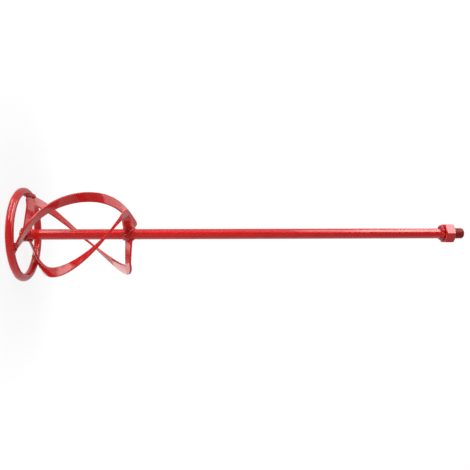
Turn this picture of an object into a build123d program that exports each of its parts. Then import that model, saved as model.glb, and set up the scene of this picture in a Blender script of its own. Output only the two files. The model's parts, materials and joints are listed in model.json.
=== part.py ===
"""Mixing paddle for a drill: ring foot, three left-hand helical blades, shaft and threaded drive end.

Millimetres. The shaft stands along +Z with the ring at the bottom. The origin is on the shaft's axis, in the
plane that the ring stands on.
"""

import os
from math import cos, hypot, pi, radians, sin, tan

from build123d import *

# Ring: round bar bent into a hoop
ring_mid_radius = 55.5
ring_bar_radius = 5.1

# Shaft: plain bar, with a male M14 thread at the drive end
overall_length = 586.0
thread_radius = 7.0
thread_proud = 0.2
shaft_end_chamfer = 0.8
thread_pitch = 2.0
thread_depth = 1.1
thread_length = 14.4
thread_lead_in = 2.2
thread_groove_over = 0.3
thread_root_width = 0.2
thread_flank_angle = 30.0

# Hexagon nut, welded on its rear face
nut_across_flats = 24.0
nut_length = 12.8
nut_chamfer_angle = 30.0
nut_countersink = 0.8
nut_weld_share = 0.885
nut_weld_length = 5.6
nut_weld_shoulder_out = 0.80
nut_weld_shoulder_back = 0.68

# Blades: flat bar set on edge, corner to corner
blade_count = 3
blade_width = 12.9
blade_thickness = 2.7
blade_start_angle = 167.9
blade_sweep = 176.0
blade_foot_rise = 4.1
blade_rise = 130.9
blade_rise_ease = 0.0575
blade_foot_lap = 1.45
blade_belly_out = 3.6
blade_belly_skew = 0.6
blade_top_steps = (0.2, -2.0, -0.7)
blade_twist_foot = -3.7
blade_twist_top = 11.2
blade_corner_round = 6.2
blade_top_rounds = (10.0, 11.5, 6.2)
blade_sections = 13

# Spokes at the foot and arms at the top, from the blade's corners in to the shaft
spoke_hub_drop = 1.3
spoke_hub_lean = 54.0
spoke_hub_turn = 2.2
arm_hub_drop = 0.9
arm_hub_lean = 39.0
arm_hub_turn = -0.3
hub_share = 0.4
limb_ease = 0.3
hub_sections = 6

# Weld beads
bead_root_spread = 4.2
bead_tip_spread = 0.9
bead_reach = 4.5
bead_corner = 1.4
bead_ground_gap = 0.6
ring_bead_half_length = 7.0
ring_bead_radius = 4.9
ring_bead_set_out = 0.6

# Sizes that follow from the ones above
ring_height = ring_bar_radius
shaft_radius = thread_radius - thread_proud
nut_weld_height = nut_weld_share * (nut_across_flats / 2 - shaft_radius)
blade_foot_radius = ring_mid_radius - ring_bar_radius + blade_foot_lap - blade_width / 2
blade_belly_radius = blade_foot_radius + blade_belly_out
blade_top_radii = [blade_foot_radius + step for step in blade_top_steps]
thread_bottom = overall_length - thread_length
nut_bottom = thread_bottom - nut_length
blade_pitch = 360.0 / blade_count
up = Vector(0, 0, 1)


def radial(angle):
    """Unit vector straight out from the shaft at this angle."""
    return Vector(cos(radians(angle)), sin(radians(angle)), 0)


def blade_radius(share, number):
    """Distance of the blade's middle line from the shaft: a parabola through three radii, plus a skew."""
    foot = blade_foot_radius * (1 - share) * (1 - 2 * share)
    belly = blade_belly_radius * 4 * share * (1 - share)
    top = blade_top_radii[number] * share * (2 * share - 1)
    return foot + belly + top + blade_belly_skew * sin(2 * pi * share)


def blade_radius_rate(share, number):
    """Rate of change of blade_radius."""
    foot = blade_foot_radius * (4 * share - 3)
    belly = blade_belly_radius * (4 - 8 * share)
    top = blade_top_radii[number] * (4 * share - 1)
    return foot + belly + top + 2 * pi * blade_belly_skew * cos(2 * pi * share)


def blade_angle(share, number):
    """Angle round the shaft. It falls as the blade climbs, which makes the helix left-hand."""
    return blade_start_angle - blade_pitch * number - blade_sweep * share


def blade_height(share):
    """Height above the ground plane. The blade climbs more slowly near its two ends."""
    eased = share - blade_rise_ease * sin(2 * pi * share)
    return ring_height + blade_foot_rise + blade_rise * eased


def blade_frame(share, number):
    """Middle point of the blade, the way it runs, and the way its width lies."""
    angle = blade_angle(share, number)
    out = radial(angle)
    around = up.cross(out)
    radius = blade_radius(share, number)
    climb = blade_rise * (1 - 2 * pi * blade_rise_ease * cos(2 * pi * share))
    run = out * blade_radius_rate(share, number) - around * (radius * radians(blade_sweep)) + up * climb
    along = run.normalized()
    side = along.cross(out).normalized()
    across = side.cross(along)
    twist = radians(blade_twist_foot + (blade_twist_top - blade_twist_foot) * share)
    width = across * cos(twist) + side * sin(twist)
    return out * radius + up * blade_height(share), along, width


def corner_length_share():
    """Share of the sweep that half a bar's width takes up."""
    speed = hypot(blade_foot_radius * radians(blade_sweep), blade_rise * (1 - 2 * pi * blade_rise_ease))
    return blade_width / 2 / speed


def helix_planes(number):
    """Planes of the bar's section between its two corners."""
    point, along, width = blade_frame(0, number)
    planes = [Plane(origin=point + along * (blade_width / 2), x_dir=width, z_dir=along)]
    first = 2.4 * corner_length_share()
    for step in range(blade_sections):
        share = first + (1 - 2 * first) * step / (blade_sections - 1)
        point, along, width = blade_frame(share, number)
        planes.append(Plane(origin=point, x_dir=width, z_dir=along))
    point, along, width = blade_frame(1, number)
    planes.append(Plane(origin=point - along * (blade_width / 2), x_dir=width, z_dir=along))
    return planes


def limb_path(share, number):
    """Start, start direction, end and end direction of the bar between a corner and the shaft."""
    point, along, width = blade_frame(share, number)
    turn, drop = (spoke_hub_turn, spoke_hub_drop) if share == 0 else (arm_hub_turn, arm_hub_drop)
    out = radial(blade_angle(share, number) + turn)
    start = point - width * (blade_width / 2)
    hub = out * (hub_share * shaft_radius) + up * (blade_height(share) - drop)
    return start, width * -1, hub, out * -1


def limb_frame(share, number, step):
    """Middle point, direction and width direction of a spoke or arm, a share of the way in to the shaft."""
    start, start_way, hub, hub_way = limb_path(share, number)
    reach = (hub - start).length
    ease = reach * limb_ease
    a = start * (2 * step**3 - 3 * step**2 + 1) + hub * (3 * step**2 - 2 * step**3)
    b = start_way * (step**3 - 2 * step**2 + step) + hub_way * (step**3 - step**2)
    point = a + b * ease
    c = (start - hub) * (6 * step**2 - 6 * step)
    d = start_way * (3 * step**2 - 4 * step + 1) + hub_way * (3 * step**2 - 2 * step)
    way = (c + d * ease).normalized()
    lean = radians(spoke_hub_lean if share == 0 else arm_hub_lean)
    hub_width = up * cos(lean) + up.cross(hub_way) * sin(lean)
    along = blade_frame(share, number)[1]
    width = along * (1 - step) + hub_width * step
    width = (width - way * width.dot(way)).normalized()
    return point, way, width


def limb_planes(share, number):
    """Planes of the bar's section from a corner in to the shaft."""
    planes = []
    for step in range(hub_sections):
        point, way, width = limb_frame(share, number, step / (hub_sections - 1))
        planes.append(Plane(origin=point, x_dir=width, z_dir=way))
    return planes


def bead_planes(share, number):
    """Planes of a hub bead: inside the shaft, then out to its tip along the bar."""
    start, start_way, hub, hub_way = limb_path(share, number)
    reach = (hub - start).length
    planes = []
    for out in (0.0, bead_reach + (1 - hub_share) * shaft_radius):
        point, way, width = limb_frame(share, number, 1 - out / reach)
        planes.append(Plane(origin=point, x_dir=width, z_dir=way))
    return planes


def corner_plane(share, number):
    """Plane of the flat corner, with x across the bar outwards and y along it."""
    point, along, width = blade_frame(share, number)
    return Plane(origin=point, x_dir=width, z_dir=width.cross(along))


os.makedirs("parts", exist_ok=True)

# Shaft: bar, then the threaded end. The thread's groove is drawn as rings one pitch apart, without its lead
with BuildPart() as shaft:
    Cylinder(shaft_radius, thread_bottom, align=(Align.CENTER, Align.CENTER, Align.MIN))
    chamfer(shaft.faces().sort_by(Axis.Z)[0].edges(), shaft_end_chamfer)
    with BuildSketch(Plane.XZ):
        with BuildLine():
            Polyline(
                (0, thread_bottom),
                (thread_radius, thread_bottom),
                (thread_radius, overall_length - thread_lead_in),
                (thread_radius - thread_lead_in, overall_length),
                (0, overall_length),
                close=True,
            )
        make_face()
    revolve(axis=Axis.Z)
    root = thread_root_width / 2
    mouth = root + (thread_depth + thread_groove_over) * tan(radians(thread_flank_angle))
    turns = int((thread_length - thread_lead_in) / thread_pitch)
    groove_heights = [thread_bottom + thread_pitch * (turn + 0.5) for turn in range(turns)]
    with BuildSketch(Plane.XZ):
        with Locations([(thread_radius, height) for height in groove_heights]):
            Polygon(
                (-thread_depth, root),
                (-thread_depth, -root),
                (thread_groove_over, -mouth),
                (thread_groove_over, mouth),
                align=None,
            )
    revolve(axis=Axis.Z, mode=Mode.SUBTRACT)
shaft.part.label = "shaft"
export_step(shaft.part, "parts/shaft.step")

# Hexagon nut, corners towards +Y and -Y, chamfered on both faces
with BuildPart() as hex_nut:
    with BuildSketch(Plane.XY.offset(nut_bottom)):
        RegularPolygon(nut_across_flats / 2, 6, major_radius=False, rotation=30)
    extrude(amount=nut_length)
    across_corners = nut_across_flats / cos(radians(30)) / 2
    chamfer_fall = (across_corners - nut_across_flats / 2) * tan(radians(nut_chamfer_angle))
    with BuildSketch(Plane.XZ):
        with BuildLine():
            Polyline(
                (0, nut_bottom),
                (nut_across_flats / 2, nut_bottom),
                (across_corners, nut_bottom + chamfer_fall),
                (across_corners, thread_bottom - chamfer_fall),
                (nut_across_flats / 2, thread_bottom),
                (0, thread_bottom),
                close=True,
            )
        make_face()
    revolve(axis=Axis.Z, mode=Mode.INTERSECT)
    with Locations((0, 0, nut_bottom + nut_length / 2)):
        Cylinder(shaft_radius, 2 * nut_length, mode=Mode.SUBTRACT)
    with Locations((0, 0, thread_bottom - nut_countersink / 2)):
        Cone(shaft_radius, thread_radius + nut_countersink, nut_countersink, mode=Mode.SUBTRACT)
hex_nut.part.label = "hex_nut"
export_step(hex_nut.part, "parts/hex_nut.step")

# Bead behind the nut
with BuildPart() as nut_weld:
    with BuildSketch(Plane.XZ):
        with BuildLine():
            Line((shaft_radius, nut_bottom - nut_weld_length), (shaft_radius, nut_bottom))
            Line((shaft_radius, nut_bottom), (shaft_radius + nut_weld_height, nut_bottom))
            ThreePointArc(
                (shaft_radius + nut_weld_height, nut_bottom),
                (
                    shaft_radius + nut_weld_shoulder_out * nut_weld_height,
                    nut_bottom - nut_weld_shoulder_back * nut_weld_length,
                ),
                (shaft_radius, nut_bottom - nut_weld_length),
            )
        make_face()
    revolve(axis=Axis.Z)
nut_weld.part.label = "nut_weld"
export_step(nut_weld.part, "parts/nut_weld.step")

# Ring
with BuildPart() as ring:
    with Locations((0, 0, ring_height)):
        Torus(ring_mid_radius, ring_bar_radius)
ring.part.label = "ring"
export_step(ring.part, "parts/ring.step")


def make_blade(number):
    """One blade: helix, two flat corners, spoke and arm, fitted round the shaft and the ring."""
    with BuildPart() as blade:
        for planes in (helix_planes(number), limb_planes(0, number), limb_planes(1, number)):
            for plane in planes:
                with BuildSketch(plane):
                    Rectangle(blade_width, blade_thickness)
            loft()
        for share in (0, 1):
            with BuildSketch(corner_plane(share, number)) as corner:
                Rectangle(blade_width, blade_width)
                outer = corner.vertices().group_by(Axis.X)[-1].sort_by(Axis.Y)[0 if share == 0 else -1]
                fillet(outer, blade_corner_round if share == 0 else blade_top_rounds[number])
            extrude(amount=blade_thickness / 2, both=True)
        Cylinder(shaft_radius, 4 * blade_rise, mode=Mode.SUBTRACT)
        with Locations((0, 0, ring_height)):
            Torus(ring_mid_radius, ring_bar_radius, mode=Mode.SUBTRACT)
    return blade.part


def make_hub_bead(share, number, blade):
    """Bead round the bar where it meets the shaft, kept to its own third of the turn."""
    hub_angle = blade_angle(share, number) + (spoke_hub_turn if share == 0 else arm_hub_turn)
    spreads = (bead_root_spread, bead_tip_spread)
    with BuildPart() as bead:
        for plane, spread in zip(bead_planes(share, number), spreads):
            with BuildSketch(plane):
                RectangleRounded(blade_width + 2 * spread, blade_thickness + 2 * spread, bead_corner)
        loft()
        with BuildSketch(Plane.XY.offset(bead_ground_gap)):
            with BuildLine():
                far = 3 * blade_width
                left = radial(hub_angle + blade_pitch / 2) * far
                right = radial(hub_angle - blade_pitch / 2) * far
                Polyline((0, 0), (left.X, left.Y), (right.X, right.Y), close=True)
            make_face()
        extrude(amount=2 * blade_rise, mode=Mode.INTERSECT)
        Cylinder(shaft_radius, 4 * blade_rise, mode=Mode.SUBTRACT)
        add(blade, mode=Mode.SUBTRACT)
    return bead.part


def make_ring_bead(number, blade):
    """Bead along the outer edge of the foot corner, where it lies against the ring."""
    point, along, width = blade_frame(0, number)
    centre = point + width * (blade_width / 2 + ring_bead_set_out)
    with BuildPart() as bead:
        with BuildSketch(Plane(origin=centre, x_dir=along, z_dir=width)):
            Ellipse(ring_bead_half_length, ring_bead_radius)
            with Locations((0, -ring_bead_radius)):
                Rectangle(4 * ring_bead_half_length, 2 * ring_bead_radius, mode=Mode.SUBTRACT)
        revolve(axis=Axis(centre, along))
        with Locations((0, 0, ring_height)):
            Torus(ring_mid_radius, ring_bar_radius, mode=Mode.SUBTRACT)
        add(blade, mode=Mode.SUBTRACT)
    return bead.part


for number in range(blade_count):
    blade_part = make_blade(number)
    blade_part.label = f"blade_{number + 1}"
    export_step(blade_part, f"parts/blade_{number + 1}.step")
    ring_bead = make_ring_bead(number, blade_part)
    ring_bead.label = f"ring_weld_{number + 1}"
    export_step(ring_bead, f"parts/ring_weld_{number + 1}.step")
    for share, name in ((0, "spoke_weld"), (1, "arm_weld")):
        hub_bead = make_hub_bead(share, number, blade_part)
        hub_bead.label = f"{name}_{number + 1}"
        export_step(hub_bead, f"parts/{name}_{number + 1}.step")
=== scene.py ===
"""Looks of the drill paint mixer: gloss red paint on a welded steel mixing paddle.

Metres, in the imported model's frame: +Z up the shaft from the ring to the drive thread.
"""

import json
import random
from math import cos, hypot, pi, radians, sin, sqrt, tan

import bmesh
import bpy
from mathutils import Matrix, Vector, noise


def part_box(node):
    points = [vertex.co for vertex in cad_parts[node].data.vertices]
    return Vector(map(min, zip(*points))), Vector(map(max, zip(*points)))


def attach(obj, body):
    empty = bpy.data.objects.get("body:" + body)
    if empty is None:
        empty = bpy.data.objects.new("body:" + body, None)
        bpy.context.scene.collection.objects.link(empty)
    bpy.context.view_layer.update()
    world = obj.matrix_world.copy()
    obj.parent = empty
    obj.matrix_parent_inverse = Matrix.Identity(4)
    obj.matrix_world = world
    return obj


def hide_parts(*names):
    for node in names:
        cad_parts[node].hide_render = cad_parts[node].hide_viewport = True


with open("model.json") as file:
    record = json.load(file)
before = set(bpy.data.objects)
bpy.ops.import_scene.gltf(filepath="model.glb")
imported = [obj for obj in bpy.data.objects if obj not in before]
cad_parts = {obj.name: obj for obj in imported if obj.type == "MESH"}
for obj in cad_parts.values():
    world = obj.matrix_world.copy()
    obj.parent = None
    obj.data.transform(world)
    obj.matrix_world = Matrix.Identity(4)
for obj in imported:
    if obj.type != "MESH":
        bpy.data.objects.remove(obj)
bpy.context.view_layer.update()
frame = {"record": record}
MM = 0.001

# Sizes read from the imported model
shaft_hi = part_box("shaft")[1]
nut_lo, nut_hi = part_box("hex_nut")
ring_lo, ring_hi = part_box("ring")
thread_mount = next(m for m in frame["record"]["mounts"] if m["name"] == "drive_thread")
thread_radius = thread_mount["dims"]["r_mm"] * MM
overall = shaft_hi.z
thread_bottom = nut_hi.z
nut_bottom = nut_lo.z
nut_flats = nut_hi.x - nut_lo.x
ring_bar = (ring_hi.z - ring_lo.z) / 2
ring_mid = (ring_hi.y - ring_lo.y) / 2 - ring_bar
THREAD_PROUD = 0.2 * MM
shaft_radius = thread_radius - THREAD_PROUD

# Blades: the same sizes as in the CAD source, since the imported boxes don't give them
WIDTH = 12.9 * MM
THICK = 2.7 * MM
FOOT_REACH = 1.45 * MM
BELLY_OUT = 3.6 * MM
FOOT_RAISE = 4.1 * MM
FOOT_RADIUS = ring_mid - ring_bar + FOOT_REACH - WIDTH / 2
BELLY_RADIUS = FOOT_RADIUS + BELLY_OUT
BELLY_SKEW = 0.6 * MM
TOP_RADII = [FOOT_RADIUS + step * MM for step in (0.2, -2.0, -0.7)]
BLADES = 3
START_ANGLE = 167.9
SWEEP = 176.0
FOOT_HEIGHT = ring_bar + FOOT_RAISE
RISE = 130.9 * MM
RISE_EASE = 0.0575
TWIST_FOOT = -3.7
TWIST_TOP = 11.2
CORNER_ROUND = 6.2 * MM
TOP_ROUNDS = [10.0 * MM, 11.5 * MM, 6.2 * MM]
HUB_DROP = (1.3 * MM, 0.9 * MM)
HUB_LEAN = (54.0, 39.0)
HUB_TURN = (2.2, -0.3)
HUB_SHARE = 0.4
LIMB_EASE = 0.3
UP = Vector((0, 0, 1))


def radial(angle):
    """Unit vector straight out from the shaft."""
    return Vector((cos(radians(angle)), sin(radians(angle)), 0))


def blade_angle(share, number):
    """Angle round the shaft; it falls as the blade climbs."""
    return START_ANGLE - 360 / BLADES * number - SWEEP * share


def blade_frame(share, number):
    """Middle point of the bar, the way it runs and the way its width lies."""
    angle = blade_angle(share, number)
    out = radial(angle)
    around = UP.cross(out)
    top = TOP_RADII[number]
    radius = FOOT_RADIUS * (1 - share) * (1 - 2 * share) + BELLY_RADIUS * 4 * share * (1 - share)
    radius += top * share * (2 * share - 1) + BELLY_SKEW * sin(2 * pi * share)
    rate = FOOT_RADIUS * (4 * share - 3) + BELLY_RADIUS * (4 - 8 * share) + top * (4 * share - 1)
    rate += 2 * pi * BELLY_SKEW * cos(2 * pi * share)
    climb = RISE * (1 - 2 * pi * RISE_EASE * cos(2 * pi * share))
    along = (out * rate - around * (radius * radians(SWEEP)) + UP * climb).normalized()
    side = along.cross(out).normalized()
    across = side.cross(along)
    twist = radians(TWIST_FOOT + (TWIST_TOP - TWIST_FOOT) * share)
    width = across * cos(twist) + side * sin(twist)
    height = FOOT_HEIGHT + RISE * (share - RISE_EASE * sin(2 * pi * share))
    return out * radius + UP * height, along, width


def limb_ends(share, number):
    """Start, hub point and outward direction of a spoke (share 0) or an arm (share 1)."""
    point, _, width = blade_frame(share, number)
    out = radial(blade_angle(share, number) + HUB_TURN[share])
    height = FOOT_HEIGHT + RISE * share - HUB_DROP[share]
    return point - width * (WIDTH / 2), out * (HUB_SHARE * shaft_radius) + UP * height, out


def limb_frame(share, number, t):
    """Middle point, direction towards the shaft and width direction, a share t of the way in."""
    along, width = blade_frame(share, number)[1:]
    start, hub, out = limb_ends(share, number)
    ease = (hub - start).length * LIMB_EASE
    point = start * (2 * t**3 - 3 * t**2 + 1) + hub * (3 * t**2 - 2 * t**3)
    point += (-width * (t**3 - 2 * t**2 + t) - out * (t**3 - t**2)) * ease
    way = (start - hub) * (6 * t**2 - 6 * t)
    way += (-width * (3 * t**2 - 4 * t + 1) - out * (3 * t**2 - 2 * t)) * ease
    way.normalize()
    lean = radians(HUB_LEAN[share])
    hub_width = UP * cos(lean) + UP.cross(-out) * sin(lean)
    wide = along * (1 - t) + hub_width * t
    wide = (wide - way * wide.dot(way)).normalized()
    return point, way, wide


def make_object(name, verts, faces):
    """A smooth-shaded mesh object at the origin, with outward normals."""
    mesh = bpy.data.meshes.new(name)
    mesh.from_pydata([tuple(v) for v in verts], [], faces)
    bm = bmesh.new()
    bm.from_mesh(mesh)
    bmesh.ops.remove_doubles(bm, verts=bm.verts, dist=1e-7)
    bmesh.ops.dissolve_degenerate(bm, edges=bm.edges, dist=1e-7)
    bmesh.ops.recalc_face_normals(bm, faces=bm.faces)
    bm.to_mesh(mesh)
    bm.free()
    mesh.polygons.foreach_set("use_smooth", [True] * len(mesh.polygons))
    obj = bpy.data.objects.new(name, mesh)
    bpy.context.collection.objects.link(obj)
    return obj


def bridge(rows, closed_rows=False):
    """Faces between rings of points of the same length."""
    count = len(rows[0])
    faces = []
    steps = len(rows) if closed_rows else len(rows) - 1
    for i in range(steps):
        a = i * count
        b = (i + 1) % len(rows) * count
        for j in range(count):
            k = (j + 1) % count
            faces.append((a + j, a + k, b + k, b + j))
    return faces


def lathe(name, rows, closed=False):
    """A solid of rings of points, closed by caps or onto itself."""
    verts = [p for row in rows for p in row]
    faces = bridge(rows, closed)
    if not closed:
        count = len(rows[0])
        faces.append(tuple(range(count)))
        faces.append(tuple(range(len(verts) - count, len(verts))))
    return make_object(name, verts, faces)


def wobble(point, scale, size, seed=0.0):
    """A small smooth random shift, the same on every run."""
    return noise.noise(point * scale + Vector((seed, 3.7 * seed, 1.3))) * size


# ---------------------------------------------------------------- materials

PAINT_RED = (0.60, 0.0120, 0.0105, 1)
PAINT_DEEP = (0.50, 0.008, 0.0075, 1)
PAINT_LIGHT = (0.69, 0.017, 0.014, 1)
THREAD_RED = (0.20, 0.007, 0.008, 1)
# Deep red that is painted into the hollows as painted shade
PAINTED_SHADE_RED = (0.10, 0.012, 0.012, 1)
STEEL = (0.16, 0.12, 0.11, 1)
COAT = 0.55
COAT_ROUGHNESS = 0.09
ROUGHNESS = (0.13, 0.21)
THREAD_ROUGHER = 0.25
PEEL_STRENGTH = 0.12
RIPPLE_STRENGTH = 0.4


def paint_material(
    name, peel_depth, ripple_depth, painted_shade_amount, wear, dark_from=None, soot=0.0, dull=0.0, coat=COAT
):
    """Gloss red paint: colour drift, orange peel, thin paint on edges and painted shade darkening
    the hollows.

    Above the height dark_from it is darker and has lost its gloss, as on the thread.
    """
    mat = bpy.data.materials.new(name)
    mat.use_nodes = True
    nodes = mat.node_tree.nodes
    links = mat.node_tree.links
    nodes.clear()
    out = nodes.new("ShaderNodeOutputMaterial")
    shader = nodes.new("ShaderNodeBsdfPrincipled")
    links.new(shader.outputs[0], out.inputs[0])
    shader.inputs["IOR"].default_value = 1.5
    shader.inputs["Coat Weight"].default_value = coat
    shader.inputs["Coat Roughness"].default_value = COAT_ROUGHNESS
    where = nodes.new("ShaderNodeTexCoord").outputs["Object"]

    def grain(scale, detail, broken=0.55):
        node = nodes.new("ShaderNodeTexNoise")
        node.inputs["Scale"].default_value = scale
        node.inputs["Detail"].default_value = detail
        node.inputs["Roughness"].default_value = broken
        links.new(where, node.inputs["Vector"])
        return node.outputs["Fac"]

    def spread(value, low, high, to_low, to_high):
        node = nodes.new("ShaderNodeMapRange")
        node.inputs["From Min"].default_value = low
        node.inputs["From Max"].default_value = high
        node.inputs["To Min"].default_value = to_low
        node.inputs["To Max"].default_value = to_high
        links.new(value, node.inputs["Value"])
        return node.outputs["Result"]

    def blend(factor, first, second):
        node = nodes.new("ShaderNodeMix")
        node.data_type = "RGBA"
        links.new(factor, node.inputs["Factor"])
        for value, socket in ((first, node.inputs[6]), (second, node.inputs[7])):
            if isinstance(value, tuple):
                socket.default_value = value
            else:
                links.new(value, socket)
        return node.outputs[2]

    def times(first, second):
        node = nodes.new("ShaderNodeMath")
        node.operation = "MULTIPLY"
        links.new(first, node.inputs[0])
        links.new(second, node.inputs[1])
        return node.outputs[0]

    broad = grain(38.0, 3.0)
    mottle = grain(190.0, 4.0)
    fine = grain(900.0, 2.0)
    colour = blend(spread(broad, 0.35, 0.7, 0.0, 0.55), PAINT_RED, PAINT_DEEP)
    colour = blend(spread(mottle, 0.5, 0.75, 0.0, 0.3), colour, PAINT_LIGHT)
    if dark_from is not None:
        height = nodes.new("ShaderNodeSeparateXYZ")
        links.new(where, height.inputs[0])
        up = height.outputs["Z"]
        darker = spread(up, dark_from, dark_from + 1.5 * MM, 0.0, 0.85)
        colour = blend(darker, colour, THREAD_RED)
    if soot:
        colour = blend(spread(mottle, 0.35, 0.65, 0.3 * soot, soot), colour, THREAD_RED)
    point = nodes.new("ShaderNodeNewGeometry").outputs["Pointiness"]
    # Painted shade: concave spots, where pointiness is low, are darkened towards a deep red
    painted_shade_mask = times(spread(point, 0.5, 0.44, 0.0, painted_shade_amount), spread(fine, 0.3, 0.7, 0.5, 1.0))
    colour = blend(painted_shade_mask, colour, PAINTED_SHADE_RED)
    edge = times(spread(point, 0.53, 0.60, 0.0, 1.0), spread(mottle, 0.52, 0.62, 0.0, wear))
    colour = blend(edge, colour, STEEL)
    links.new(colour, shader.inputs["Base Color"])
    rough = spread(mottle, 0.3, 0.75, ROUGHNESS[0] + dull, ROUGHNESS[1] + dull)
    if dark_from is not None:
        shine = spread(up, dark_from, dark_from + 1.0 * MM, coat, 0.0)
        links.new(shine, shader.inputs["Coat Weight"])
        worn = nodes.new("ShaderNodeMath")
        links.new(rough, worn.inputs[0])
        more = spread(up, dark_from, dark_from + 1.0 * MM, 0.0, THREAD_ROUGHER)
        links.new(more, worn.inputs[1])
        rough = worn.outputs[0]
    links.new(rough, shader.inputs["Roughness"])

    peel = nodes.new("ShaderNodeBump")
    peel.inputs["Strength"].default_value = PEEL_STRENGTH
    peel.inputs["Distance"].default_value = peel_depth
    links.new(grain(620.0, 2.0, 0.4), peel.inputs["Height"])
    ripple = nodes.new("ShaderNodeBump")
    ripple.inputs["Strength"].default_value = RIPPLE_STRENGTH
    ripple.inputs["Distance"].default_value = ripple_depth
    links.new(grain(95.0, 3.0, 0.5), ripple.inputs["Height"])
    links.new(ripple.outputs["Normal"], peel.inputs["Normal"])
    links.new(peel.outputs["Normal"], shader.inputs["Normal"])
    links.new(ripple.outputs["Normal"], shader.inputs["Coat Normal"])
    return mat


bar_paint = paint_material("bar_paint", 0.015 * MM, 0.035 * MM, 0.25, 0.25, thread_bottom)
head_paint = paint_material("head_paint", 0.04 * MM, 0.2 * MM, 0.3, 0.35)
weld_paint = paint_material(
    "weld_paint", 0.06 * MM, 0.25 * MM, 0.75, 0.15, soot=0.55, dull=0.14, coat=0.25
)


def dress(obj, mat, slot, *nodes):
    """The piece takes its paint, rides on the one body and stands for its CAD nodes."""
    obj.data.materials.clear()
    obj.data.materials.append(mat)
    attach(obj, "root")
    if nodes:
        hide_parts(*nodes)
    return obj


# ---------------------------------------------------------------- shaft

AROUND = 96
CENTRE_HOLE = 0.4 * MM


def circle(radius, z, count=AROUND):
    """Points round the shaft's axis at one height."""
    turns = [2 * pi * i / count for i in range(count)]
    return [Vector((radius * cos(turn), radius * sin(turn), z)) for turn in turns]


def shaft_rows():
    """Bar with a bevelled foot, then a right-hand thread that runs out in a rounded lead-in."""
    bevel = 0.8 * MM
    bevel_steps = 4
    rows = [circle(CENTRE_HOLE, 0.0), circle(shaft_radius - bevel, 0.0)]
    for step in range(1, bevel_steps + 1):
        turn = pi / 2 * step / bevel_steps
        rows.append(circle(shaft_radius - bevel + bevel * sin(turn), bevel - bevel * cos(turn)))
    lengths = 90
    for step in range(1, lengths):
        rows.append(circle(shaft_radius, bevel + (thread_bottom - bevel) * step / lengths))
    rows.append(circle(shaft_radius, thread_bottom - 0.05 * MM))
    pitch = 2.0 * MM
    depth = 0.85 * MM
    lead = 2.4 * MM
    flank_start = 0.82
    flank_share = 0.6
    slices = 150
    for step in range(slices + 1):
        z = thread_bottom + (overall - thread_bottom) * step / slices
        t = max(0.0, (z - overall + lead) / lead)
        limit = thread_radius - lead * (1 - sqrt(max(0.0, 1 - t * t)))
        ring = []
        for i in range(AROUND):
            share = i / AROUND
            phase = (z / pitch - share) % 1.0
            crest = abs(2 * phase - 1)
            cut = min(1.0, max(0.0, (flank_start - crest) / flank_share))
            cut = cut * cut * (3 - 2 * cut)
            radius = min(limit, thread_radius - depth * cut)
            ring.append(Vector((radius * cos(2 * pi * share), radius * sin(2 * pi * share), z)))
        rows.append(ring)
    rows.append(circle(CENTRE_HOLE, overall))
    return rows


dress(lathe("shaft_bar", shaft_rows()), bar_paint, "bar_paint", "shaft")


# ---------------------------------------------------------------- hexagon

FACE_SHARE = 0.95
CHAMFER_ANGLE = 30


def nut_rows():
    """Rings of a hexagon with both faces chamfered, countersunk on the thread side."""
    inscribed = nut_flats / 2
    face = FACE_SHARE * inscribed
    fall = tan(radians(CHAMFER_ANGLE))
    bore = shaft_radius
    sink = 0.8 * MM
    rows = [[], [], [], [], [], [], [], []]
    for i in range(AROUND):
        turn = 2 * pi * i / AROUND
        from_flat = (turn + pi / 6) % (pi / 3) - pi / 6
        hexagon = inscribed / cos(from_flat)
        low = (hexagon - face) * fall
        ray = Vector((cos(turn), sin(turn), 0))
        profile = (
            (bore, thread_bottom - sink),
            (bore + sink, thread_bottom),
            (face, thread_bottom),
            (hexagon, thread_bottom - low),
            (hexagon, nut_bottom + low),
            (face, nut_bottom),
            (bore, nut_bottom),
            (bore, nut_bottom + sink),
        )
        for row, (radius, z) in zip(rows, profile):
            row.append(ray * radius + UP * z)
    return rows


nut = lathe("hexagon_nut", nut_rows(), closed=True)
soften = nut.modifiers.new("soften", "BEVEL")
soften.width = 0.45 * MM
soften.segments = 3
soften.limit_method = "ANGLE"
soften.angle_limit = radians(22)
soften.harden_normals = True
dress(nut, bar_paint, "bar_paint", "hex_nut")


# ---------------------------------------------------------------- ring

def ring_rows():
    """Round bar in a hoop, very slightly uneven where it was bent and its paint is thick."""
    rows = []
    hoops, sides = 240, 36
    for i in range(hoops):
        turn = 2 * pi * i / hoops
        out = Vector((cos(turn), sin(turn), 0))
        row = []
        for j in range(sides):
            a = 2 * pi * j / sides
            spot = out * (ring_mid + ring_bar * cos(a)) + UP * (ring_bar + ring_bar * sin(a))
            dent = abs(wobble(spot, 60.0, 0.16 * MM, 2.0))
            radius = ring_bar - dent
            row.append(out * (ring_mid + radius * cos(a)) + UP * (ring_bar + radius * sin(a)))
        rows.append(row)
    return rows


dress(lathe("ring_hoop", ring_rows(), closed=True), head_paint, "head_paint", "ring")


# ---------------------------------------------------------------- blades

EDGE = 0.75 * MM


def section(inner, across, normal, wide, seed):
    """Loop of points round the bar's section, its long edges rounded by rolling and by paint."""
    half = THICK / 2
    loop = []
    quarter = [pi / 2 * k / 4 for k in range(5)]
    for a in quarter:
        loop.append((EDGE - EDGE * cos(a), half - EDGE + EDGE * sin(a)))
    loop.append((EDGE + 0.25 * MM, half))
    for k in (0.25, 0.5, 0.75):
        loop.append((EDGE + (wide - 2 * EDGE) * k, half))
    loop.append((wide - EDGE - 0.25 * MM, half))
    for a in quarter:
        loop.append((wide - EDGE + EDGE * sin(a), half - EDGE + EDGE * cos(a)))
    loop += [(a, -b) for a, b in reversed(loop)]
    points = []
    for a, b in loop:
        spot = inner + across * a + normal * b
        points.append(spot + normal * wobble(spot, 110.0, 0.14 * MM, seed))
    return points


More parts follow.
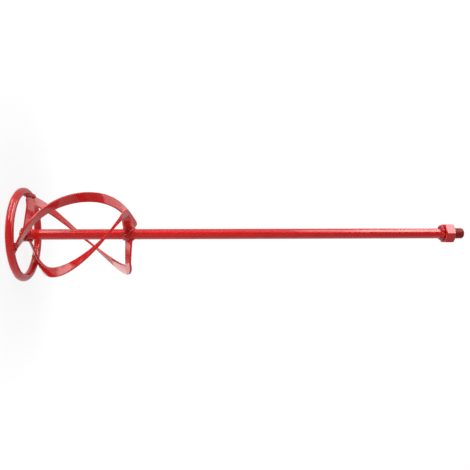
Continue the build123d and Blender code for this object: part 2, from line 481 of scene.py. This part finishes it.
def corner_boundary(share, rounding):
    """Outer boundary of a flat corner, in (across, along) about its middle."""
    half = WIDTH / 2
    sign = -1 if share == 0 else 1
    middle = (half - rounding, sign * (half - rounding))
    path = []
    for k in range(4):
        path.append((-half + (WIDTH - rounding) * k / 4, sign * half))
    for k in range(9):
        a = pi / 2 * k / 8
        path.append((middle[0] + rounding * sin(a), middle[1] + sign * rounding * cos(a)))
    for k in range(1, 5):
        path.append((half, sign * (half - rounding - (WIDTH - rounding) * k / 4)))
    return path if share == 0 else path[::-1]


def blade_rows(number):
    """Rings of points out along the spoke, up the helix and in along the arm."""
    rows = []
    seed = 5.0 + number

    def limb_row(share, t, sign):
        point, way, wide = limb_frame(share, number, t)
        across = wide * sign
        rows.append(section(point - across * (WIDTH / 2), across, wide.cross(way), WIDTH, seed))

    def corner_rows(share, rounding):
        point, along, width = blade_frame(share, number)
        sign = 1 if share == 0 else -1
        inner = point - width * (WIDTH / 2) + along * (sign * WIDTH / 2)
        for x, y in corner_boundary(share, rounding):
            outer = point + width * x + along * y
            across = outer - inner
            wide = across.length
            rows.append(section(inner, across / wide, width.cross(along), wide, seed))

    limb_steps = 26
    for k in range(limb_steps):
        limb_row(0, 1 - k / limb_steps, -1)
    corner_rows(0, CORNER_ROUND)
    speed = hypot(FOOT_RADIUS * radians(SWEEP), RISE * (1 - 2 * pi * RISE_EASE))
    first = 2.4 * WIDTH / 2 / speed
    helix = 130
    start_point, start_along, start_width = blade_frame(0, number)
    end_point, end_along, end_width = blade_frame(1, number)
    start_face = (start_point + start_along * (WIDTH / 2), start_along, start_width)
    end_face = (end_point - end_along * (WIDTH / 2), end_along, end_width)
    eased = 6
    for k in range(1, eased):
        rows.append(eased_row(start_face, blade_frame(first, number), k / eased, seed))
    for k in range(helix + 1):
        point, along, width = blade_frame(first + (1 - 2 * first) * k / helix, number)
        rows.append(section(point - width * (WIDTH / 2), width, width.cross(along), WIDTH, seed))
    for k in range(1, eased):
        rows.append(eased_row(blade_frame(1 - first, number), end_face, k / eased, seed))
    corner_rows(1, TOP_ROUNDS[number])
    for k in range(1, limb_steps + 1):
        limb_row(1, k / limb_steps, 1)
    return rows


def eased_row(one, two, t, seed):
    """A section part of the way from one frame to the next, on a smooth curve between them."""
    (p, along_p, width_p), (q, along_q, width_q) = one, two
    reach = (q - p).length
    point = p * (2 * t**3 - 3 * t**2 + 1) + q * (3 * t**2 - 2 * t**3)
    point += (along_p * (t**3 - 2 * t**2 + t) + along_q * (t**3 - t**2)) * reach
    along = (along_p * (1 - t) + along_q * t).normalized()
    width = width_p * (1 - t) + width_q * t
    width = (width - along * width.dot(along)).normalized()
    return section(point - width * (WIDTH / 2), width, width.cross(along), WIDTH, seed)


for number in range(BLADES):
    blade = lathe(f"blade_bar_{number + 1}", blade_rows(number))
    dress(blade, head_paint, "head_paint", f"blade_{number + 1}")


# ---------------------------------------------------------------- welds

ball_mesh = bmesh.new()
bmesh.ops.create_icosphere(ball_mesh, subdivisions=2, radius=1.0)
BALL_POINTS = [v.co.copy() for v in ball_mesh.verts]
BALL_FACES = [tuple(v.index for v in f.verts) for f in ball_mesh.faces]
ball_mesh.free()
VOXEL = 0.33 * MM


def weld_object(name, blobs, specks, seed):
    """One lumpy bead: overlapping drops melted together, with small spatter left round it."""
    verts, faces = [], []
    for centre, size, stretch in blobs:
        base = len(verts)
        for p in BALL_POINTS:
            verts.append(centre + Vector((p.x * size, p.y * size, p.z * size)) @ stretch)
        faces += [tuple(base + i for i in face) for face in BALL_FACES]
    mesh = bpy.data.meshes.new(name + "_drops")
    mesh.from_pydata([tuple(v) for v in verts], [], faces)
    drops = bpy.data.objects.new(name + "_drops", mesh)
    bpy.context.collection.objects.link(drops)
    melt = drops.modifiers.new("melt", "REMESH")
    melt.mode = "VOXEL"
    melt.voxel_size = VOXEL
    relax = drops.modifiers.new("relax", "SMOOTH")
    relax.factor = 0.5
    relax.iterations = 3
    graph = bpy.context.evaluated_depsgraph_get()
    melted = bpy.data.meshes.new_from_object(drops.evaluated_get(graph))
    bpy.data.objects.remove(drops)
    points = []
    for v in melted.vertices:
        rough = wobble(v.co, 600.0, 0.15 * MM, seed) + wobble(v.co, 1500.0, 0.05 * MM, seed + 9)
        points.append(v.co + v.normal * rough)
    shell = [tuple(p.vertices) for p in melted.polygons]
    for centre, size in specks:
        base = len(points)
        points += [centre + p * size for p in BALL_POINTS]
        shell += [tuple(base + i for i in face) for face in BALL_FACES]
    return make_object(name, points, shell)


def squash(rng, along, amount):
    """A matrix that stretches a drop by a random share along one direction."""
    return Matrix.Scale(1 + amount * rng.random(), 3, along.normalized())


HUB_DROPS = 8
HUB_OVERHANG = 1.2 * MM
HUB_REACH = 3.5 * MM
HUB_SPECKS = 9
FLOOR_CLEAR = 0.8 * MM


def move_to(spot, distance):
    """Moves a point straight in or out to a distance from the shaft's axis."""
    level = hypot(spot.x, spot.y)
    spot.x *= distance / level
    spot.y *= distance / level


def hub_weld(share, number):
    """Bead where a bar meets the shaft: a run on each flat side and a drop on each edge."""
    rng = random.Random(100 + 10 * share + number)
    blobs, specks = [], []
    start, hub, _ = limb_ends(share, number)
    surface = sqrt(shaft_radius**2 - HUB_REACH**2) - HUB_SHARE * shaft_radius
    at_shaft = 1 - surface / (hub - start).length
    point, way, wide = limb_frame(share, number, at_shaft)
    flat = wide.cross(way)
    for side in (-1, 1):
        for k in range(HUB_DROPS):
            x = (k / (HUB_DROPS - 1) - 0.5) * (WIDTH + HUB_OVERHANG)
            size = (1.75 + 0.75 * rng.random()) * MM
            gap = (0.3 + 0.6 * rng.random()) * MM
            spot = point + wide * x + flat * side * (THICK / 2 + gap)
            move_to(spot, shaft_radius + 0.1 * MM + 0.5 * MM * rng.random())
            blobs.append((spot, size, squash(rng, wide, 0.3)))
    for end in (-1, 1):
        spot = point + wide * end * (WIDTH / 2 + HUB_OVERHANG / 2)
        move_to(spot, shaft_radius)
        blobs.append((spot, (2.3 + 0.7 * rng.random()) * MM, squash(rng, flat, 0.3)))
    for k in range(HUB_SPECKS):
        turn = blade_angle(share, number) + rng.uniform(-55, 55)
        height = hub.z + rng.choice((-1, 1)) * rng.uniform(7, 15) * MM
        if height > 2 * MM:
            specks.append((radial(turn) * shaft_radius + UP * height, rng.uniform(0.25, 0.6) * MM))
    blobs = [blob for blob in blobs if blob[0].z > blob[1] + FLOOR_CLEAR]
    return blobs, specks


for share, name in ((0, "spoke_weld"), (1, "arm_weld")):
    for number in range(BLADES):
        blobs, specks = hub_weld(share, number)
        seed = 20.0 + 3 * share + number
        bead = weld_object(f"{name}_bead_{number + 1}", blobs, specks, seed)
        dress(bead, weld_paint, "weld_paint", f"{name}_{number + 1}")


RING_DROPS = 7
RING_RUN = 11.5 * MM
RING_TAIL = 3
RING_SPECKS = 8


def ring_weld(number):
    """Bead along the foot corner where it lies against the ring."""
    rng = random.Random(200 + number)
    point, along, width = blade_frame(0, number)
    flat = width.cross(along)
    blobs, specks = [], []
    for side in (-1, 1):
        for k in range(RING_DROPS):
            x = (k / (RING_DROPS - 1) - 0.55) * RING_RUN
            spot = point + along * x + width * (WIDTH / 2 + rng.uniform(-0.8, 0.5) * MM)
            spot += flat * side * (THICK / 2 + rng.uniform(0.2, 0.9) * MM)
            blobs.append((spot, rng.uniform(1.7, 2.6) * MM, squash(rng, along, 0.3)))
    for k in range(RING_TAIL):
        spot = point + along * (5.0 + 1.4 * k) * MM + width * (WIDTH / 2 + 0.9 * MM)
        blobs.append((spot, (2.9 - 0.6 * k) * MM, squash(rng, along, 0.2)))
    for k in range(RING_SPECKS):
        turn = blade_angle(0, number) + rng.uniform(-16, 16)
        a = rng.uniform(0.2, 2.6)
        out = radial(turn)
        spot = out * (ring_mid + ring_bar * cos(a)) + UP * (ring_bar + ring_bar * sin(a))
        specks.append((spot, rng.uniform(0.25, 0.5) * MM))
    return blobs, specks


for number in range(BLADES):
    blobs, specks = ring_weld(number)
    bead = weld_object(f"ring_weld_bead_{number + 1}", blobs, specks, 40.0 + number)
    dress(bead, weld_paint, "weld_paint", f"ring_weld_{number + 1}")


NUT_DROPS = 10
NUT_LUMP = 2.6 * MM
NUT_ROOT_DROPS = 24
NUT_SPECKS = 14


def nut_bead():
    """Heavy bead that runs once round the shaft behind the hexagon, thickest on the -X side."""
    rng = random.Random(300)
    blobs, specks = [], []
    bead_lo, bead_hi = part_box("nut_weld")
    foot, rim = bead_lo.z, bead_hi.x
    for k in range(NUT_DROPS):
        turn = 180 + 360 * k / NUT_DROPS + rng.uniform(-9, 9)
        out = radial(turn)
        heavy = 0.5 - 0.5 * out.x
        size = (2.0 + 0.7 * heavy + rng.uniform(0, 0.2)) * MM
        spot = out * (rim - (1.5 - 0.9 * heavy) * MM - size) + UP * (nut_bottom - size + 0.5 * MM)
        blobs.append((spot, size, squash(rng, out, 0.08)))
        size = (1.5 + 0.9 * heavy + rng.uniform(0, 0.2)) * MM
        turn += rng.uniform(8, 26)
        out = radial(turn)
        spot = out * (rim - (3.1 - 1.6 * heavy) * MM - size) + UP * (foot + 0.3 * MM + size)
        blobs.append((spot, size, squash(rng, UP, 0.06)))
    for turn in (176, 204):
        spot = radial(turn) * (rim - 0.35 * MM - NUT_LUMP) + UP * (foot + 0.3 * MM + NUT_LUMP)
        blobs.append((spot, NUT_LUMP, Matrix.Identity(3)))
    for k in range(NUT_ROOT_DROPS):
        out = radial(360 / NUT_ROOT_DROPS * k)
        spot = out * (shaft_radius + 0.5 * MM) + UP * (nut_bottom - 2.2 * MM)
        blobs.append((spot, 2.0 * MM, Matrix.Identity(3)))
    for k in range(NUT_SPECKS):
        spot = radial(rng.uniform(0, 360)) * shaft_radius + UP * (foot - rng.uniform(1, 12) * MM)
        specks.append((spot, rng.uniform(0.2, 0.5) * MM))
    return blobs, specks


blobs, specks = nut_bead()
bead = weld_object("nut_weld_bead", blobs, specks, 60.0)
dress(bead, weld_paint, "weld_paint", "nut_weld")


# ---------------------------------------------------------------- floor, light and camera

WHITE_GLOW = 1.02
FLOOR_RADIUS = 0.30
FLOOR_POINTS = 128
FLOOR_DROP = 0.0002


def floor_material():
    """Pale paper near the mixer, fading into a white backdrop further out."""
    mat = bpy.data.materials.new("floor_paper")
    mat.use_nodes = True
    nodes = mat.node_tree.nodes
    links = mat.node_tree.links
    nodes.clear()
    out = nodes.new("ShaderNodeOutputMaterial")
    mix = nodes.new("ShaderNodeMixShader")
    glow = nodes.new("ShaderNodeEmission")
    glow.inputs["Color"].default_value = (1, 1, 1, 1)
    glow.inputs["Strength"].default_value = WHITE_GLOW
    paper = nodes.new("ShaderNodeBsdfDiffuse")
    where = nodes.new("ShaderNodeTexCoord").outputs["Object"]
    fibre = nodes.new("ShaderNodeTexNoise")
    fibre.inputs["Scale"].default_value = 400.0
    links.new(where, fibre.inputs["Vector"])
    tone = nodes.new("ShaderNodeMapRange")
    tone.inputs["To Min"].default_value = 0.80
    tone.inputs["To Max"].default_value = 0.84
    links.new(fibre.outputs["Fac"], tone.inputs["Value"])
    links.new(tone.outputs["Result"], paper.inputs["Color"])
    distance = nodes.new("ShaderNodeVectorMath")
    distance.operation = "LENGTH"
    links.new(where, distance.inputs[0])
    fade = nodes.new("ShaderNodeMapRange")
    fade.interpolation_type = "SMOOTHSTEP"
    fade.inputs["From Min"].default_value = 0.06
    fade.inputs["From Max"].default_value = 0.26
    fade.inputs["To Min"].default_value = 0.14
    fade.inputs["To Max"].default_value = 0.0
    links.new(distance.outputs["Value"], fade.inputs["Value"])
    links.new(fade.outputs["Result"], mix.inputs[0])
    links.new(glow.outputs[0], mix.inputs[1])
    links.new(paper.outputs[0], mix.inputs[2])
    links.new(mix.outputs[0], out.inputs[0])
    return mat


floor_ring = circle(FLOOR_RADIUS, 0, FLOOR_POINTS)
floor = make_object("floor", floor_ring, [tuple(range(FLOOR_POINTS))])
floor.location.z = -FLOOR_DROP
floor.data.materials.append(floor_material())
floor.visible_glossy = False

world = bpy.data.worlds.new("studio")
bpy.context.scene.world = world
world.use_nodes = True
tree = world.node_tree
tree.nodes.clear()
world_out = tree.nodes.new("ShaderNodeOutputWorld")
shown = tree.nodes.new("ShaderNodeBackground")
shown.inputs["Color"].default_value = (1, 1, 1, 1)
shown.inputs["Strength"].default_value = WHITE_GLOW
lit = tree.nodes.new("ShaderNodeBackground")
lit.inputs["Strength"].default_value = 1.0
coords = tree.nodes.new("ShaderNodeTexCoord")
axes = tree.nodes.new("ShaderNodeSeparateXYZ")
tree.links.new(coords.outputs["Generated"], axes.inputs[0])
# The light round the mixer grows towards its back (+Y) and underneath in the picture (+X)
glow_parts = []
for axis, start, end, low, high in (("Y", -0.6, 0.3, 0.05, 0.44), ("X", 0.0, 0.9, 0.0, 0.30)):
    part = tree.nodes.new("ShaderNodeMapRange")
    part.interpolation_type = "SMOOTHSTEP"
    part.inputs["From Min"].default_value = start
    part.inputs["From Max"].default_value = end
    part.inputs["To Min"].default_value = low
    part.inputs["To Max"].default_value = high
    tree.links.new(axes.outputs[axis], part.inputs["Value"])
    glow_parts.append(part.outputs["Result"])
total = tree.nodes.new("ShaderNodeMath")
total.operation = "ADD"
tree.links.new(glow_parts[0], total.inputs[0])
tree.links.new(glow_parts[1], total.inputs[1])
tree.links.new(total.outputs[0], lit.inputs["Color"])
path = tree.nodes.new("ShaderNodeLightPath")
pick = tree.nodes.new("ShaderNodeMixShader")
tree.links.new(path.outputs["Is Camera Ray"], pick.inputs[0])
tree.links.new(lit.outputs[0], pick.inputs[1])
tree.links.new(shown.outputs[0], pick.inputs[2])
tree.links.new(pick.outputs[0], world_out.inputs[0])

middle = Vector((0, 0, overall / 2))


def area_lamp(name, place, back, wide, tall, power):
    """A rectangular lamp at a place, shining away from its back, its width along the shaft."""
    data = bpy.data.lights.new(name, "AREA")
    data.shape = "RECTANGLE"
    data.size = wide
    data.size_y = tall
    data.energy = power
    lamp = bpy.data.objects.new(name, data)
    bpy.context.collection.objects.link(lamp)
    lamp.visible_camera = False
    side = (UP - back * UP.dot(back)).normalized()
    up = back.cross(side)
    turned = Matrix((side, up, back)).transposed().to_4x4()
    lamp.matrix_world = Matrix.Translation(place) @ turned
    return lamp


def softbox(name, offset, wide, tall, power):
    """An area lamp aimed at the middle of the shaft."""
    return area_lamp(name, middle + offset, offset.normalized(), wide, tall, power)


# Broad soft light from above and in front, which the paint doesn't mirror
key = softbox("key", Vector((-1.0, -0.47, -0.1)), 1.4, 0.6, 17.0)
key.visible_glossy = False
fill = softbox("fill", Vector((0.35, -1.05, -0.1)), 1.4, 0.8, 5.4)
fill.visible_glossy = False

# Upright panels that only the gloss mirrors: bright at both ends of the mixer, faint between
SHEEN_X = -1.0
SHEEN_Y = -0.47
SHEEN_TALL = 1.25
sheen_back = Vector((SHEEN_X, SHEEN_Y, 0)).normalized()
for name, height, long, bright in (
    ("sheen_head", -0.485, 0.53, 3.6),
    ("sheen_middle", 0.19, 0.82, 0.4),
    ("sheen_step", 0.70, 0.20, 2.6),
    ("sheen_drive", 1.125, 0.65, 6.0),
):
    place = Vector((SHEEN_X, SHEEN_Y, height))
    power = pi * long * SHEEN_TALL * bright
    panel = area_lamp(name, place, sheen_back, long, SHEEN_TALL, power)
    panel.visible_diffuse = False

# Round panels, again only for the gloss, that the flats of the blades mirror; nested discs make
# a panel fade at its rim
for name, place, radius, bright, steps in (
    ("glow_above", (-0.36, 0.02, 1.40), 0.28, 4.6, (0.6, 1.0, 1.4)),
    ("glow_foot", (-0.60, 0.45, 1.00), 0.24, 2.4, (1.0,)),
    ("glow_below", (-0.26, 0.33, -1.10), 0.15, 2.8, (0.8, 1.25)),
    ("glow_behind", (0.30, 0.85, -0.85), 0.30, 1.4, (1.0,)),
):
    for step, grow in enumerate(steps):
        size = 2 * radius * grow
        power = pi * pi * size**2 / 4 * bright / len(steps)
        disc = softbox(f"{name}_{step + 1}", Vector(place) - middle, size, size, power)
        disc.data.shape = "DISK"
        disc.visible_diffuse = False

# Camera: in front of the mixer, rolled so that the shaft lies across the picture
CAMERA_AT = Vector((-2.33 * MM, -674.6 * MM, ring_bar + 219.97 * MM))
YAW = radians(2.864)
PITCH = radians(-0.312)
ROLL = radians(-0.15)
ACROSS = Vector((0, -sin(YAW), cos(YAW)))
AHEAD = Vector((0, cos(YAW), sin(YAW)))
OVER = Vector((-1, 0, 0))
ahead = AHEAD * cos(PITCH) + OVER * sin(PITCH)
over = OVER * cos(PITCH) - AHEAD * sin(PITCH)
right = ACROSS * cos(ROLL) + over * sin(ROLL)
over = over * cos(ROLL) - ACROSS * sin(ROLL)
camera_data = bpy.data.cameras.new("camera")
camera_data.sensor_width = 36.0
camera_data.lens = 39.2
camera_data.shift_x = 0.031
camera_data.clip_start = 0.01
camera = bpy.data.objects.new("camera", camera_data)
bpy.context.collection.objects.link(camera)
turned = Matrix((right, over, -ahead)).transposed().to_4x4()
camera.matrix_world = Matrix.Translation(CAMERA_AT) @ turned
bpy.context.scene.camera = camera
bpy.context.scene.view_settings.view_transform = "Standard"
